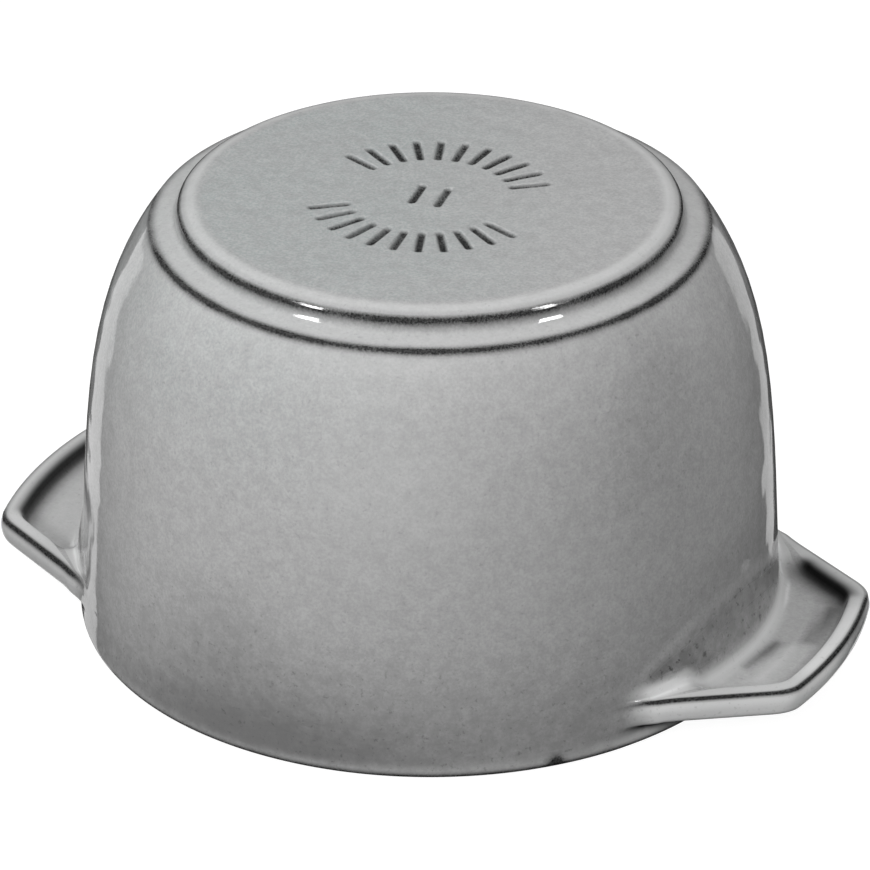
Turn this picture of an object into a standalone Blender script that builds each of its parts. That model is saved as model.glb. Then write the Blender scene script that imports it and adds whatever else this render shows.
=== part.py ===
"""Round dutch oven turned over on its rim, with its lid lying under it.

The pot is one casting: base, wall and both lug handles. It is lofted from radial sections, because the
section changes from a plain wall to a wall that carries a pocketed lug. The lid lies the right way up
inside the rim, and its knob stands up in the pot. Lengths are in millimetres until a mesh is made.
"""
import math

import bpy

MM = 0.001

# Clearances
GAP = 0.3                   # pieces that touch
SEAT_CLEARANCE = 1.0        # lid flange to the wall of its seat, all round
SEAT_HEADROOM = 1.5         # lid flange to the ledge above it

# Pot, heights counted up from the rim it stands on
POT_HEIGHT = 90.1
RIM_RADIUS = 70.4
RIM_ROUND = 2.0
RIM_WIDTH = 4.8             # rim metal outside the lid seat
LEDGE_WIDTH = 4.1           # ledge that carries the lid
LEDGE_LIP = 2.0             # straight part of the mouth behind the ledge
LEDGE_SLOPE = 6.0           # height over which the ledge runs back into the wall
WALL = 4.6
WALL_TAPER = 4.1            # how far the wall leans in from rim to shoulder
WALL_POWER = 5              # how sharply the wall turns in at the shoulder
BASE_THICKNESS = 5.0
INNER_CORNER = 18.0         # radius between inner wall and floor
INNER_FLOOR_SETBACK = 13.8  # from the rim radius in to the corner of the inner floor

# Steps around the base
BASE_RADIUS = 49.24         # crisp edge round the base disc
BASE_EDGE_DROP = 1.7        # from the base face down to that edge
BASE_EDGE_ROUND = 1.0
BASE_ROUND = 5.8            # arc from the base face to that edge
SHOULDER_RADIUS = 54.77     # crisp edge where the wall begins
SHOULDER_DROP = 5.27        # from the base face down to that edge
COVE_ROUND = 2.2
COVE_DEPTH = 4.2            # from the base face down to the root of the cove
COVE_SETBACK = 0.5          # root of the cove outside the base edge
CRISP_ROUND = 0.5

# Lug handles
HANDLE_RADIUS = 88.44       # pot axis to the handle's outer edge
HANDLE_TOP = 10.0
HANDLE_BOTTOM = 4.6
HANDLE_CORNER_DEG = 14.0
HANDLE_ROOT_DEG = 32.7
HANDLE_CORNER_BLEND = 2.6
HANDLE_ROOT_BLEND = 5.0     # fillet in plan between the handle and the wall
HANDLE_EDGE_ROUND = 0.45
HANDLE_SWELL = 0.6          # how far the handle's side stands out under its crisp edge
HANDLE_SWELL_DROP = 2.3     # how far below that edge
HANDLE_SWELL_ROUND = 4.0
HANDLE_UNDER_ROUND = 1.7
BORDER = 3.9                # ridge left around the pocket
POCKET_DEPTH = 2.8
POCKET_ROUND = 1.1
POCKET_START = 1.5          # room between flare and ridge where the pocket begins to sink
POCKET_FULL = 6.3           # room at which it has its full depth
FLARE_RISE = 14.5           # flare of the wall above the handle, where it is highest
FLARE_ROOT_RISE = 3.0       # the same where it runs out
FLARE_SWELL = 1.9           # how far it stands out over the handle
FLARE_ROUND = 3.4
FLARE_DEG = 28.0            # half its width round the pot
FLARE_LEAN_DEG = 7.0        # how far its middle lies off the handle's, towards -Y
ROOT_FADE = 2.8             # overhang at which the handle section is complete

# Lid, heights counted up from the table
LID_FLANGE = 4.0
LID_CROWN = 13.5
LID_WALL = 4.0
LID_EDGE_ROUND = 0.6
DRIP_RINGS = 3
DRIP_HEIGHT = 1.2
DRIP_WIDTH = 3.2

# Knob and its fixing
KNOB_HEIGHT = 24.0
KNOB_RADIUS = 17.0
KNOB_SEAT = 11.0            # flat seat on the lid
KNOB_FOOT = 9.6
SCREW_RADIUS = 2.5
SCREW_GRIP = 10.0           # thread inside the knob
SCREW_TIP_ROOM = 1.0
SCREW_HEAD_RADIUS = 5.2
SCREW_HEAD_HEIGHT = 2.6
SLOT_WIDTH = 1.2
SLOT_DEPTH = 1.3
WASHER_RADIUS = 7.0
WASHER_THICKNESS = 1.0

# Facets
LID_STEPS = 48
KNOB_STEPS = 32
SCREW_STEPS = 20
WASHER_STEPS = 24
BASE_ARC_STEPS = 4
HANDLE_COLUMNS = (0, 4, 8, 11, 12.6, 14, 15.4, 17.5, 20, 22.5, 25, 27.5, 30, 32, 34, 36, 38.5)
WALL_COLUMNS = (46, 54, 63, 72, 81, 90)

# Sizes that follow from those above
BASE_SWEEP = math.acos(1.0 - BASE_EDGE_DROP / BASE_ROUND)
BASE_FLAT = BASE_RADIUS - BASE_ROUND * math.sin(BASE_SWEEP)
SHOULDER_Z = POT_HEIGHT - SHOULDER_DROP
SHOULDER_CURVE = RIM_RADIUS - SHOULDER_RADIUS - WALL_TAPER
SEAT_RADIUS = RIM_RADIUS - RIM_WIDTH
MOUTH_RADIUS = SEAT_RADIUS - LEDGE_WIDTH
SEAT_DEPTH = LID_FLANGE + SEAT_HEADROOM
FLANGE_RADIUS = SEAT_RADIUS - SEAT_CLEARANCE
DOME_RADIUS = MOUTH_RADIUS - SEAT_CLEARANCE
LID_CEILING = LID_CROWN - LID_WALL
BORE_RADIUS = SCREW_RADIUS + GAP


def wall_radius(z):
    t = z / SHOULDER_Z
    return RIM_RADIUS - WALL_TAPER * t - SHOULDER_CURVE * t ** WALL_POWER


def smoothstep(low, high, x):
    t = min(max((x - low) / (high - low), 0.0), 1.0)
    return t * t * (3.0 - 2.0 * t)


def smooth_min(a, b, reach):
    h = max(reach - abs(a - b), 0.0) / reach
    return min(a, b) - h * h * reach / 4.0


def off_handle(angle):
    """Angle off the middle line of the nearer handle."""
    return abs((angle + math.pi / 2.0) % math.pi - math.pi / 2.0)


def outline_radius(angle, inset):
    """Plan outline of a handle, moved in by inset: an arc round the pot axis and a straight side."""
    root = math.radians(HANDLE_ROOT_DEG)
    corner = math.radians(HANDLE_CORNER_DEG)
    root_radius = wall_radius(HANDLE_TOP)
    x0, y0 = root_radius * math.cos(root), root_radius * math.sin(root)
    x1, y1 = HANDLE_RADIUS * math.cos(corner), HANDLE_RADIUS * math.sin(corner)
    normal = math.atan2(x1 - x0, y0 - y1)
    distance = x0 * math.cos(normal) + y0 * math.sin(normal)
    side = (distance - inset) / math.cos(max(0.0, normal - angle))
    return smooth_min(HANDLE_RADIUS - inset, side, HANDLE_CORNER_BLEND)


def flare_share(angle):
    """Share of the flare's full height and swell, for an angle round the pot."""
    off = off_handle(angle)
    lean = math.degrees(math.copysign(off, math.sin(angle))) + FLARE_LEAN_DEG
    return max(0.0, 1.0 - (lean / FLARE_DEG) ** 2)


def handle_corners(angle):
    """Corners of the section between the wall and the rim, for an angle round the pot."""
    off = off_handle(angle)
    wall = wall_radius(HANDLE_TOP)
    overhang = -smooth_min(wall - outline_radius(off, 0.0), 0.0, HANDLE_ROOT_BLEND)
    edge = wall + overhang
    foot = wall + FLARE_SWELL * flare_share(angle)
    lip = outline_radius(off, BORDER)
    depth = POCKET_DEPTH * smoothstep(POCKET_START, POCKET_FULL, lip - foot)
    floor = HANDLE_TOP - depth
    slope = POCKET_ROUND / 2.0
    lugged = [
        (foot, floor),
        (max(lip - slope, foot + 0.35 * (edge - foot)), floor),
        (max(lip + slope, foot + 0.55 * (edge - foot)), HANDLE_TOP),
        (edge, HANDLE_TOP),
        (edge + HANDLE_SWELL, HANDLE_TOP - HANDLE_SWELL_DROP),
        (edge, HANDLE_BOTTOM),
        (wall_radius(HANDLE_BOTTOM), HANDLE_BOTTOM),
    ]
    span = HANDLE_TOP - HANDLE_BOTTOM
    plain = []
    for share in (1.15, 1.06, 0.98, 0.88, 0.5, 0.1, -0.08):
        z = HANDLE_BOTTOM + span * share
        plain.append((wall_radius(z), z))
    fade = smoothstep(0.0, ROOT_FADE, overhang)
    corners = []
    for (r0, z0), (r1, z1) in zip(plain, lugged):
        corners.append((r0 + (r1 - r0) * fade, z0 + (z1 - z0) * fade))
    return corners


def rounded(corners):
    """Polyline through corners given as r, z, radius and count, each corner cut by a soft curve."""
    points = []
    for i, (r, z, radius, count) in enumerate(corners):
        if count == 1:
            points.append((r, z))
            continue
        ar, az = corners[i - 1][0] - r, corners[i - 1][1] - z
        br, bz = corners[i + 1][0] - r, corners[i + 1][1] - z
        la, lb = math.hypot(ar, az), math.hypot(br, bz)
        turn = math.pi - math.acos(min(1.0, max(-1.0, (ar * br + az * bz) / (la * lb))))
        cut = min(radius * math.tan(turn / 2.0), 0.48 * la, 0.48 * lb)
        for k in range(count):
            t = k / (count - 1)
            wa, wb = cut * (1.0 - t) ** 2 / la, cut * t ** 2 / lb
            points.append((r + ar * wa + br * wb, z + az * wa + bz * wb))
    return points


def pot_section(angle):
    """Section of the pot from the middle of the base, down the outside, and back up the inside."""
    flare_z = HANDLE_TOP + FLARE_ROOT_RISE + (FLARE_RISE - FLARE_ROOT_RISE) * flare_share(angle)
    flare_top = HANDLE_TOP + FLARE_RISE
    step = (BASE_EDGE_DROP + COVE_DEPTH) / 2.0
    corners = [(0.0, POT_HEIGHT, 0.0, 1)]
    for k in range(BASE_ARC_STEPS):
        turn = BASE_SWEEP * k / BASE_ARC_STEPS
        r = BASE_FLAT + BASE_ROUND * math.sin(turn)
        corners.append((r, POT_HEIGHT - BASE_ROUND * (1.0 - math.cos(turn)), 0.0, 1))
    corners.append((BASE_RADIUS, POT_HEIGHT - BASE_EDGE_DROP, BASE_EDGE_ROUND, 3))
    corners.append((BASE_RADIUS + COVE_SETBACK / 2.0, POT_HEIGHT - step, 0.0, 1))
    corners.append((BASE_RADIUS + COVE_SETBACK, POT_HEIGHT - COVE_DEPTH, COVE_ROUND, 3))
    corners.append((SHOULDER_RADIUS, SHOULDER_Z, CRISP_ROUND, 2))
    for share in (0.95, 0.88, 0.79, 0.69, 0.57, 0.43, 0.28, 0.12):
        z = flare_top + (SHOULDER_Z - flare_top) * share
        corners.append((wall_radius(z), z, 0.0, 1))
    corners.append((wall_radius(flare_z), flare_z, 0.0, 1))
    rounds = (
        (FLARE_ROUND, 3),
        (POCKET_ROUND, 2),
        (POCKET_ROUND, 2),
        (HANDLE_EDGE_ROUND, 2),
        (HANDLE_SWELL_ROUND, 2),
        (HANDLE_UNDER_ROUND, 3),
        (POCKET_ROUND, 2),
    )
    for (r, z), (radius, count) in zip(handle_corners(angle), rounds):
        corners.append((r, z, radius, count))
    corners.append((RIM_RADIUS, 0.0, RIM_ROUND, 3))
    corners.append((SEAT_RADIUS, 0.0, CRISP_ROUND, 2))
    corners.append((SEAT_RADIUS, SEAT_DEPTH, CRISP_ROUND, 2))
    corners.append((MOUTH_RADIUS, SEAT_DEPTH, CRISP_ROUND, 2))
    lip_z = SEAT_DEPTH + LEDGE_LIP
    corners.append((MOUTH_RADIUS, lip_z, 0.0, 1))
    inner_floor = POT_HEIGHT - BASE_THICKNESS
    low, high = lip_z + LEDGE_SLOPE, inner_floor - 2.0 * INNER_CORNER
    for share in (0.0, 0.5, 1.0):
        z = low + (high - low) * share
        corners.append((wall_radius(z) - WALL, z, 0.0, 1))
    corners.append((RIM_RADIUS - INNER_FLOOR_SETBACK, inner_floor, INNER_CORNER, 5))
    corners.append((0.0, inner_floor, 0.0, 1))
    return rounded(corners)


def add_material(obj, name, colour, roughness, metallic):
    material = bpy.data.materials.new(name)
    material.use_nodes = True
    shader = material.node_tree.nodes["Principled BSDF"]
    shader.inputs["Base Color"].default_value = (*colour, 1.0)
    shader.inputs["Roughness"].default_value = roughness
    shader.inputs["Metallic"].default_value = metallic
    obj.data.materials.append(material)


def add_object(name, mesh, collection, z=0.0):
    obj = bpy.data.objects.new(name, mesh)
    obj.location = (0.0, 0.0, z * MM)
    collection.objects.link(obj)
    return obj


def lofted_pot(name, collection):
    quarter = HANDLE_COLUMNS + WALL_COLUMNS
    off_axis = quarter[:-1] + tuple(-a for a in reversed(quarter[1:]))
    angles = [math.radians(a) for a in off_axis] + [math.radians(a) + math.pi for a in off_axis]
    angles = sorted(a % (2.0 * math.pi) for a in angles)
    verts, faces = [], []
    for angle in angles:
        section = pot_section(angle)
        rows = len(section) - 2
        for r, z in section[1:-1]:
            verts.append((r * math.cos(angle) * MM, r * math.sin(angle) * MM, z * MM))
    top, bottom = len(verts), len(verts) + 1
    verts.append((0.0, 0.0, section[0][1] * MM))
    verts.append((0.0, 0.0, section[-1][1] * MM))
    for j in range(len(angles)):
        a, b = j * rows, (j + 1) % len(angles) * rows
        faces.append((top, a, b))
        faces.append((bottom, b + rows - 1, a + rows - 1))
        for i in range(rows - 1):
            faces.append((a + i, a + i + 1, b + i + 1))
            faces.append((a + i, b + i + 1, b + i))
    mesh = bpy.data.meshes.new(name)
    mesh.from_pydata(verts, [], faces)
    mesh.polygons.foreach_set("use_smooth", [True] * len(faces))
    return add_object(name, mesh, collection)


def turned(name, profile, steps, closed, collection, z=0.0):
    """Body of revolution; the profile is a list of r, z that runs down its outer side."""
    mesh = bpy.data.meshes.new(name)
    edges = [(i, i + 1) for i in range(len(profile) - 1)]
    if closed:
        edges.append((len(profile) - 1, 0))
    mesh.from_pydata([(r * MM, 0.0, h * MM) for r, h in profile], edges, [])
    obj = add_object(name, mesh, collection, z)
    screw = obj.modifiers.new("turn", "SCREW")
    screw.axis = "Z"
    screw.steps = steps
    screw.render_steps = steps
    screw.use_merge_vertices = True
    screw.merge_threshold = 0.00001
    screw.use_smooth_shade = True
    return obj


def lid_height(r):
    """Height of the lid's outer face over its flange, level over the knob's seat."""
    t = max(0.0, r - KNOB_SEAT) / (DOME_RADIUS - KNOB_SEAT)
    return (LID_CROWN - LID_FLANGE) * (1.0 - t * t)


def lid_profile():
    profile = [(BORE_RADIUS, LID_CROWN)]
    for share in (0.0, 0.2, 0.4, 0.6, 0.8, 1.0):
        r = KNOB_SEAT + (DOME_RADIUS - KNOB_SEAT) * share
        profile.append((r, LID_FLANGE + lid_height(r)))
    profile.append((FLANGE_RADIUS - LID_EDGE_ROUND, LID_FLANGE))
    profile.append((FLANGE_RADIUS, LID_FLANGE - LID_EDGE_ROUND))
    profile.append((FLANGE_RADIUS, LID_EDGE_ROUND))
    profile.append((FLANGE_RADIUS - LID_EDGE_ROUND, 0.0))
    profile.append((DOME_RADIUS, 0.0))
    pitch = (DOME_RADIUS - KNOB_SEAT) / (DRIP_RINGS + 1)
    under = LID_FLANGE - LID_WALL
    for ring in range(DRIP_RINGS, 0, -1):
        middle = KNOB_SEAT + pitch * ring
        between = middle + pitch / 2.0
        profile.append((between, under + lid_height(between)))
        for side, drop in ((0.5, 0.0), (0.2, DRIP_HEIGHT), (-0.2, DRIP_HEIGHT), (-0.5, 0.0)):
            r = middle + DRIP_WIDTH * side
            profile.append((r, under + lid_height(r) - drop))
    profile.append((KNOB_SEAT, LID_CEILING))
    profile.append((BORE_RADIUS, LID_CEILING))
    return profile


def knob_profile():
    """Knob above its seat: a round cap on a waisted stem, with a blind hole for the screw."""
    shape = ((0.5, 0.985), (0.78, 0.925), (0.94, 0.82), (1.0, 0.69), (0.94, 0.57), (0.74, 0.46))
    profile = [(0.0, KNOB_HEIGHT)]
    for r, h in shape:
        profile.append((KNOB_RADIUS * r, KNOB_HEIGHT * h))
    for r, h in ((0.92, 0.35), (0.8, 0.22), (0.85, 0.1), (1.0, 0.03), (1.0, 0.0)):
        profile.append((KNOB_FOOT * r, KNOB_HEIGHT * h))
    hole = SCREW_GRIP + SCREW_TIP_ROOM
    profile.append((BORE_RADIUS, 0.0))
    profile.append((BORE_RADIUS, hole))
    profile.append((0.0, hole))
    return profile


def screw_profile():
    """Screw above the bearing face of its head."""
    length = 2.0 * GAP + WASHER_THICKNESS + LID_WALL + GAP + SCREW_GRIP
    chamfer = 0.2 * SCREW_RADIUS
    return [
        (0.0, length),
        (SCREW_RADIUS - chamfer, length),
        (SCREW_RADIUS, length - chamfer),
        (SCREW_RADIUS, 0.0),
        (SCREW_HEAD_RADIUS, 0.0),
        (SCREW_HEAD_RADIUS, -0.5 * SCREW_HEAD_HEIGHT),
        (0.8 * SCREW_HEAD_RADIUS, -0.9 * SCREW_HEAD_HEIGHT),
        (0.0, -SCREW_HEAD_HEIGHT),
    ]


def cut_slot(screw, cutters):
    """Screwdriver slot across the head."""
    x, y = 1.2 * SCREW_HEAD_RADIUS * MM, 0.5 * SLOT_WIDTH * MM
    low = -1.2 * SCREW_HEAD_HEIGHT * MM
    high = (SLOT_DEPTH - SCREW_HEAD_HEIGHT) * MM
    verts = [(sx * x, sy * y, z) for z in (low, high) for sy in (-1, 1) for sx in (-1, 1)]
    faces = [(0, 2, 3, 1), (4, 5, 7, 6), (0, 1, 5, 4), (2, 6, 7, 3), (0, 4, 6, 2), (1, 3, 7, 5)]
    mesh = bpy.data.meshes.new("screw_slot_cutter")
    mesh.from_pydata(verts, [], faces)
    cutter = bpy.data.objects.new("screw_slot_cutter", mesh)
    cutter.location = screw.location
    cutter.hide_render = True
    cutter.display_type = "WIRE"
    cutters.objects.link(cutter)
    cut = screw.modifiers.new("slot", "BOOLEAN")
    cut.operation = "DIFFERENCE"
    cut.solver = "EXACT"
    cut.object = cutter


for old in list(bpy.data.objects):
    bpy.data.objects.remove(old, do_unlink=True)

parts = bpy.data.collections.new("round_dutch_oven")
tools = bpy.data.collections.new("cutters")
bpy.context.scene.collection.children.link(parts)
bpy.context.scene.collection.children.link(tools)

pot = lofted_pot("pot_casting", parts)
add_material(pot, "pot_enamel", (0.31, 0.32, 0.315), 0.18, 0.0)

lid = turned("lid_casting", lid_profile(), LID_STEPS, True, parts)
add_material(lid, "lid_enamel", (0.31, 0.32, 0.315), 0.18, 0.0)

knob = turned("lid_knob", knob_profile(), KNOB_STEPS, False, parts, LID_CROWN + GAP)
add_material(knob, "knob_steel", (0.62, 0.61, 0.59), 0.22, 1.0)

washer_z = LID_CEILING - GAP - WASHER_THICKNESS
ring = [
    (WASHER_RADIUS, WASHER_THICKNESS),
    (WASHER_RADIUS, 0.0),
    (BORE_RADIUS, 0.0),
    (BORE_RADIUS, WASHER_THICKNESS),
]
washer = turned("knob_washer", ring, WASHER_STEPS, True, parts, washer_z)
add_material(washer, "washer_steel", (0.55, 0.55, 0.54), 0.3, 1.0)

bolt = turned("knob_screw", screw_profile(), SCREW_STEPS, False, parts, washer_z - GAP)
cut_slot(bolt, tools)
add_material(bolt, "screw_steel", (0.5, 0.5, 0.5), 0.3, 1.0)

lid_pieces = (knob, washer, bolt)
for piece in lid_pieces:
    piece.parent = lid
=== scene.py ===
"""Round dutch oven turned over on its rim: the visible pieces, the studio and the camera."""
import math
from collections import namedtuple

import bpy
import numpy as np
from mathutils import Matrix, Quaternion, Vector


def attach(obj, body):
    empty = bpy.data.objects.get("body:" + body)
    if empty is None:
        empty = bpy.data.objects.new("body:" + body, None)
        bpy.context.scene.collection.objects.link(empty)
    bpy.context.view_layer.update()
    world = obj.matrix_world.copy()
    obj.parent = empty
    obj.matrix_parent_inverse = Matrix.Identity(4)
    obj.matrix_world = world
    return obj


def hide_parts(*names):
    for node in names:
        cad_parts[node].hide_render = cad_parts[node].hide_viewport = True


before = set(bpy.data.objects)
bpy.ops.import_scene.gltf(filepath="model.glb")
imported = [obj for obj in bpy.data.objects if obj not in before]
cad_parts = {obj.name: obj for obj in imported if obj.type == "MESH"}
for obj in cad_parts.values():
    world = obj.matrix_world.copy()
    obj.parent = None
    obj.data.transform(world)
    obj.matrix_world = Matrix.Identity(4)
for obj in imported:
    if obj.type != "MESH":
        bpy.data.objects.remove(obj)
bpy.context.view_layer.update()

MM = 0.001

# Pot sizes in millimetres, the same as in the part's source
POT_HEIGHT, RIM_RADIUS, RIM_ROUND, RIM_WIDTH = 90.1, 70.4, 2.0, 4.8
LEDGE_WIDTH, LEDGE_LIP, LEDGE_SLOPE = 4.1, 2.0, 6.0
WALL, WALL_TAPER, WALL_POWER = 4.6, 4.1, 5
BASE_THICKNESS, INNER_CORNER, INNER_FLOOR_SETBACK = 5.0, 18.0, 13.8
BASE_RADIUS, BASE_EDGE_DROP, BASE_EDGE_ROUND, BASE_ROUND = 49.24, 1.7, 1.0, 5.8
SHOULDER_RADIUS, SHOULDER_DROP = 54.77, 5.27
COVE_ROUND, COVE_DEPTH, COVE_SETBACK, CRISP_ROUND = 2.2, 4.2, 0.5, 0.5
HANDLE_RADIUS, HANDLE_TOP, HANDLE_BOTTOM = 88.44, 10.0, 4.6
HANDLE_CORNER_DEG, HANDLE_ROOT_DEG = 14.0, 32.7
HANDLE_CORNER_BLEND, HANDLE_ROOT_BLEND = 2.6, 5.0
HANDLE_EDGE_ROUND, HANDLE_UNDER_ROUND = 0.45, 1.7
HANDLE_SWELL, HANDLE_SWELL_DROP, HANDLE_SWELL_ROUND = 0.6, 2.3, 4.0
BORDER, POCKET_DEPTH, POCKET_ROUND = 3.9, 2.8, 1.1
POCKET_START, POCKET_FULL = 1.5, 6.3
FLARE_RISE, FLARE_ROOT_RISE, FLARE_SWELL, FLARE_ROUND, ROOT_FADE = 14.5, 3.0, 1.9, 3.4, 2.8
FLARE_DEG, FLARE_LEAN_DEG = 28.0, 7.0
SEAT_CLEARANCE, SEAT_HEADROOM = 1.0, 1.5

# Lid sizes
LID_FLANGE, LID_CROWN, LID_WALL, LID_EDGE_ROUND = 4.0, 13.5, 4.0, 0.6
DRIP_RINGS, DRIP_HEIGHT, DRIP_WIDTH = 3, 1.2, 3.2
GAP = 0.3
KNOB_HEIGHT, KNOB_RADIUS, KNOB_SEAT, KNOB_FOOT = 24.0, 17.0, 11.0, 9.6
SCREW_RADIUS, SCREW_GRIP, SCREW_TIP_ROOM = 2.5, 10.0, 1.0

BASE_SWEEP = math.acos(1.0 - BASE_EDGE_DROP / BASE_ROUND)
BASE_FLAT = BASE_RADIUS - BASE_ROUND * math.sin(BASE_SWEEP)
SHOULDER_Z = POT_HEIGHT - SHOULDER_DROP
SHOULDER_CURVE = RIM_RADIUS - SHOULDER_RADIUS - WALL_TAPER
SEAT_RADIUS = RIM_RADIUS - RIM_WIDTH
MOUTH_RADIUS = SEAT_RADIUS - LEDGE_WIDTH
SEAT_DEPTH = LID_FLANGE + SEAT_HEADROOM
FLANGE_RADIUS = SEAT_RADIUS - SEAT_CLEARANCE
DOME_RADIUS = MOUTH_RADIUS - SEAT_CLEARANCE
BORE_RADIUS = SCREW_RADIUS + GAP

# Finer roundings of the visible meshes
FLARE_TOP_ROUND, LEDGE_ROUND, DOME_ROOT_ROUND, DRIP_ROUND = 25.0, 3.0, 1.2, 0.5
CAP_ROUND, STEM_ROUND, FOOT_ROUND, FOOT_EDGE_ROUND, BORE_ROUND = 12.0, 8.0, 0.4, 0.3, 0.2
CORNER_SHARE = 0.48  # most of a side that a corner's curve takes up

# Columns of the pot: half the fine stretch at a handle, and the steps in and outside it
FINE_DEG, FINE_STEP_DEG, COARSE_STEP_DEG = 39.0, 0.5, 0.75
# Rows of the pot: radii on the base, drops below the shoulder, places on the inner wall and floor
BASE_RINGS = (*np.arange(0.8, 25.01, 0.4), 27.0, 31.0, 36.0, 41.0, 44.0)
BASE_ROUND_STEPS = 4
WALL_DROPS = (
    0.55, 0.9, 1.3, 1.8, 2.5, 3.4, 4.5, 6.0, 8.0, 10.5,
    13.5, 17.0, 21.0, 26.0, 31.0, 37.0, 43.0, 49.0, 55.0,
)
INNER_WALL_SHARES, INNER_FLOOR_RINGS = (0.33, 0.67, 1.0), (30.0, 15.0, 5.0)
# Least shares of the way from the flare's foot to the handle's edge, for the pocket wall's ends
POCKET_WALL_SHARES = (0.35, 0.55)
# Heights on the plain wall that the handle's corners fade into, in shares of its thickness
ROOT_SHARES = (1.15, 1.06, 0.98, 0.88, 0.5, 0.1, -0.08)

# Columns of the turned pieces, and rings of the lid's dome
LID_STEPS, KNOB_STEPS, DOME_RINGS = 192, 128, 23
# Drip ring's section: places across it in shares of its width, and in shares of its height
DRIP_CORNERS = ((0.5, 0.0), (0.2, 1.0), (-0.2, 1.0), (-0.5, 0.0))
DRIP_BETWEEN = (0.5, 0.3)
# Knob's corners in shares of its radius, or of its foot's, and of its height
KNOB_CAP = ((0.5, 0.985), (0.78, 0.925), (0.94, 0.82), (1.0, 0.69), (0.94, 0.57), (0.74, 0.46))
KNOB_STEM = ((0.92, 0.35), (0.8, 0.22), (0.85, 0.1))
KNOB_FOOT_TOP = 0.03

# Plain recessed bars on the base: two arcs and a pair in the middle
MARK_TURN_DEG = -84.0
MARK_BARS_DEG = [a + b for b in (0.0, 180.0) for a in np.arange(-60.0, 61.0, 12.0)]
MARK_RADIUS, MARK_HALF_LENGTH, MARK_HALF_WIDTH = 20.0, 3.4, 0.3
MARK_SOFT, MARK_DEPTH, MARK_LIMIT, MARK_LEVEL = 0.8, 0.75, 26.0, 0.01
MARK_CENTRE_SIDES = (-2.6, 2.6)

# Sides of the pot in degrees round it: the front, where the painted reflection above the rim is
# strongest, and where painted light lifts the wall
FRONT_DEG, RIM_LIGHT_SIDE_DEG, LIT_SIDE_DEG = -66.5, -15.0, -73.0
# Bare spot at the rim
BARE_SPOT_DEG, BARE_SPOT_Z, BARE_SPOT_RADIUS = -46.3, 1.4, 1.5
# Darker and paler places of the wall: strength, height and its reach, degrees and their width
SHADED = (
    (0.95, 5.0, 9.0, -96.0, 26.0),
    (0.4, 31.0, 8.0, -101.0, 12.0),
    (-0.28, 12.0, 8.0, -128.0, 14.0),
    (0.5, 60.0, 18.0, -28.0, 14.0),
    (0.46, 76.0, 8.0, -20.0, 10.0),
    (0.4, 28.0, 8.0, -7.0, 13.0),
)
# Painted reflections on one pocket's floor, dark ones and a pale one: both ends as x, y, then width
# and strength
DARK_REFLECTIONS = (
    ((72.1, -11.9), (75.0, -1.6), 1.3, 0.6),
    ((80.5, 2.2), (80.4, 15.2), 1.6, 0.55),
)
PALE_REFLECTION = ((76.9, -15.8), (78.1, -2.0), 1.6, 0.4)
# Values of the pot's surface that its enamel reads, each a method of PotSurface
ENAMEL_VALUES = ("thin_and_shade", "pool", "rough", "deep_shade", "shade", "dull", "cool")
OUTSIDE, INSIDE = 0, 1  # the pot's material slots

# Camera found from the photograph, in degrees, millimetres and pixels
CAMERA_AZIMUTH, CAMERA_ELEVATION, CAMERA_DISTANCE = 23.53, 28.40, 1200.0
FOCAL_PIXELS, IMAGE_PIXELS = 6058.0, 870.0
LOOKED_AT_Z = 46.0
OFFSET_RIGHT, OFFSET_DOWN = 4.8, 40.4
SENSOR_WIDTH, CLIP_NEAR, CLIP_FAR = 36.0, 0.05, 20.0

# Directions in the photograph: to the right, away from the camera, and up
AZIMUTH = math.radians(CAMERA_AZIMUTH)
RIGHT = Vector((math.cos(AZIMUTH), math.sin(AZIMUTH), 0.0))
AWAY = Vector((-math.sin(AZIMUTH), math.cos(AZIMUTH), 0.0))
UP = Vector((0.0, 0.0, 1.0))

# Studio in millimetres: the floor that is seen, and a grey one under it that throws light back
FLOOR_SIZE, FLOOR_DROP, FLOOR_TONES, FLOOR_LIGHT = 8000.0, 0.05, (0.14, 0.16), 0.95
BOUNCE_SIZE, BOUNCE_DROP, BOUNCE_TONES = 3000.0, 0.1, (0.3, 0.32)
# Cards mirrored along both sides of the wall: name, place to the right, width, strength
EDGE_CARDS = (("card_left", -135.0, 50.0, 0.85), ("card_right", 127.5, 39.0, 0.75))
EDGE_CARD_LENGTH, EDGE_CARD_BACK, EDGE_CARD_DROP = 190.0, 100.0, 25.0
# Windows mirrored in the base's edges: degrees to the right of the camera, and roll
WINDOWS = ((-57.0, -22.0), (58.0, 22.0))
WINDOW_LIFT_DEG, WINDOW_DISTANCE = 41.0, 500.0
WINDOW_WIDTH, WINDOW_LENGTH, WINDOW_STRENGTH = 62.0, 330.0, 32.0
# Lamps: name, degrees to the right of the camera, degrees up, distance, width, height, watts
LAMPS = (
    ("key", -45.0, 20.0, 700.0, 150.0, 150.0, 2.8),
    ("fill", 55.0, 10.0, 480.0, 200.0, 120.0, 0.28),
    ("over", 0.0, 65.0, 700.0, 300.0, 300.0, 1.25),
    ("top", 180.0, 70.0, 800.0, 600.0, 600.0, 2.25),
)
SKY_LIGHT, SKY_SEEN = 0.5, 1.0

WHITE, BLACK = (1.0, 1.0, 1.0, 1.0), (0.0, 0.0, 0.0, 1.0)
FINE = 0.65  # roughness of the fine noises

Corner = namedtuple("Corner", "r z radius count fill name")


def smoothstep(low, high, x):
    t = np.clip((x - low) / (high - low), 0.0, 1.0)
    return t * t * (3.0 - 2.0 * t)


def smooth_min(a, b, reach):
    h = np.maximum(reach - np.abs(a - b), 0.0) / reach
    return np.minimum(a, b) - h * h * reach / 4.0


def bell(distance, width):
    return np.exp(-(distance / width) ** 2)


def ridge(distance, before, after):
    """Bell with one width before its middle and another after it."""
    return np.where(distance < 0.0, bell(distance, before), bell(distance, after))


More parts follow.
